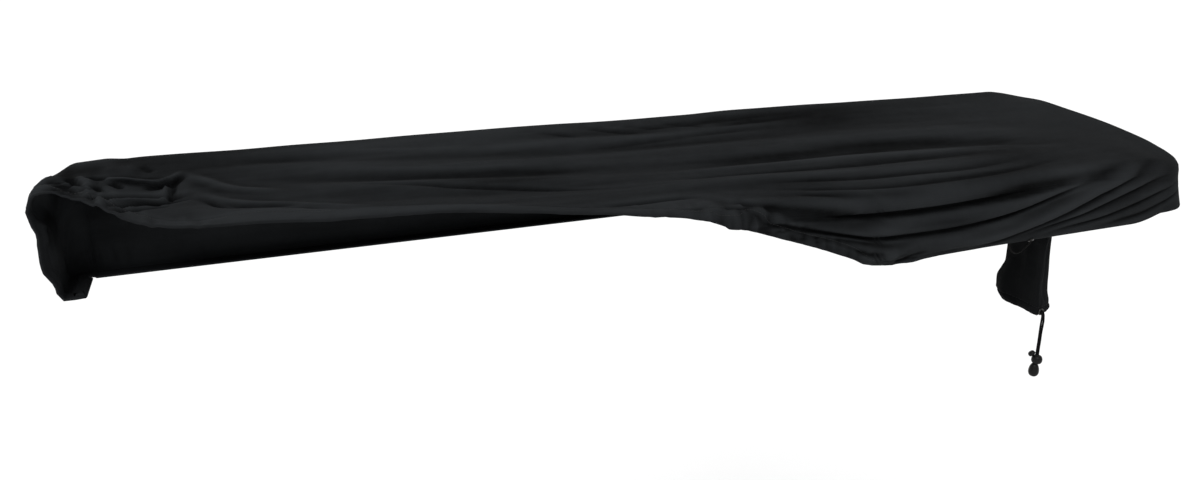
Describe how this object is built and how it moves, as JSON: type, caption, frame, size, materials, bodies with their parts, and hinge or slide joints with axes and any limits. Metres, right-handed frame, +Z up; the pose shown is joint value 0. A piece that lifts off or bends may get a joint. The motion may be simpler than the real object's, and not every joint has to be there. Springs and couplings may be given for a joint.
{
  "type": "fitted piano cover with storage bag",
  "caption": "Stretch dust cover for a digital piano, pushed back off most of the keys, with a built-in drawcord bag hanging at one end.",
  "frame": {"origin": "under the top cloth at the middle of the cover, where the piano's top carries it", "axes": "+X along the keyboard to its treble end, +Y to the back, +Z up"},
  "size_m": [1.3299, 0.2955, 0.3278],
  "materials": {
    "cover_fabric": "matte stretch jersey, fine knit, soft sheen",
    "bag_fabric": "matte stretch jersey, darker",
    "eyelet_metal": "dark nickel plating, lightly worn",
    "elastic_cord": "round braided elastic",
    "lock_plastic": "moulded plastic, satin"
  },
  "bodies": {
    "root": {"cover_cloth": "cover_fabric", "storage_bag": "bag_fabric", "bag_eyelet": "eyelet_metal", "hem_eyelet": "eyelet_metal", "bag_cord_left": "elastic_cord", "bag_cord_right": "elastic_cord", "hem_cord_loop": "elastic_cord", "cord_lock_body": "lock_plastic", "cord_lock_button": "lock_plastic", "cord_end": "lock_plastic"}
  },
  "joints": []
}
